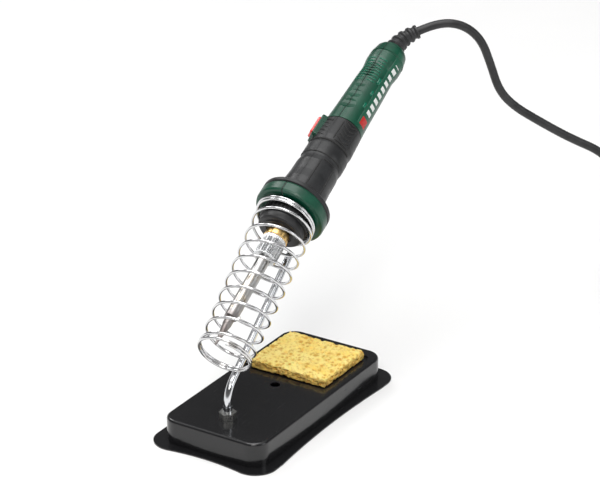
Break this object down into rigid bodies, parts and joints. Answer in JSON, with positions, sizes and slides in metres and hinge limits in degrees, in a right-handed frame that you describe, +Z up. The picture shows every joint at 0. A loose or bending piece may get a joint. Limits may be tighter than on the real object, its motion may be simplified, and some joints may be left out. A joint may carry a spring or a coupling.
{
  "type": "soldering iron station",
  "caption": "Mains soldering iron resting in a coil holder on a pressed-steel base with a cleaning sponge, its lead coiled beside it.",
  "frame": {"origin": "middle of the base tray's underside, on the table", "axes": "+X along the base from the holder rod to the sponge, +Y to the left of that, +Z up"},
  "size_m": [0.4176, 0.2522, 0.2053],
  "materials": {
    "tray_enamel": "gloss black stove enamel",
    "sponge_yellow": "cellulose sponge",
    "rod_chrome": "bright chrome plate",
    "zinc": "bright zinc plate",
    "spring_wire": "nickel-plated spring wire",
    "tip_plate": "iron-plated copper, satin",
    "barrel_steel": "satin stainless steel",
    "ceramic": "ceramic",
    "knurled_aluminium": "bright turned aluminium",
    "brass": "bright turned brass",
    "ring_black": "heat-proof moulding",
    "handle_green": "satin-gloss green moulding",
    "grip_black": "soft-touch rubber",
    "button_red": "clear red lens",
    "switch_black": "moulded",
    "block_white": "moulded nylon",
    "lead_insulation": "insulated wire",
    "cord_black": "rubber sheath",
    "plug_black": "moulded rubber",
    "face_black": "moulded",
    "nickel": "nickel plate"
  },
  "bodies": {
    "stand": {"base_tray": "tray_enamel", "stand_rod": "rod_chrome", "rod_top_nut": "zinc", "rod_lock_nut": "zinc", "rod_washer": "zinc", "holder_spring": "spring_wire", "cord_coil": "cord_black", "plug_body": "plug_black", "plug_face": "face_black", "plug_pins": "nickel", "plug_earth_clips": "nickel"},
    "sponge": {"sponge": "sponge_yellow"},
    "iron": {"soldering_tip": "tip_plate", "tip_set_screw": "zinc", "barrel_tube": "barrel_steel", "heater_element": "ceramic", "barrel_nut": "knurled_aluminium", "brass_ferrule": "brass", "insulating_ring": "ring_black", "handle_shell_left": "handle_green", "handle_shell_right": "handle_green", "grip_left": "grip_black", "grip_right": "grip_black", "handle_screws": "zinc", "switch_bezel": "handle_green", "microswitch": "switch_black", "terminal_block": "block_white", "heater_leads": "lead_insulation", "mains_leads": "lead_insulation", "cord_tail": "cord_black", "cord_clamp": "switch_black", "clamp_screws": "zinc", "strain_relief": "cord_black", "power_cord": "cord_black"},
    "power_button": {"switch_button": "button_red"}
  },
  "joints": [
    {"name": "sponge_lift", "type": "slide", "parent": "stand", "child": "sponge", "axis": [0, 0, 1], "range_m": [0, 0.03]},
    {"name": "iron_draw", "type": "slide", "parent": "stand", "child": "iron", "axis": [0.878, 0.0537, 0.4756], "range_m": [0, 0.13]},
    {"name": "button_press", "type": "slide", "parent": "iron", "child": "power_button", "axis": [0.2574, -0.8519, -0.4561], "range_m": [0, 0.0018], "stiffness_N_per_m": 600, "springref_m": -0.002}
  ]
}
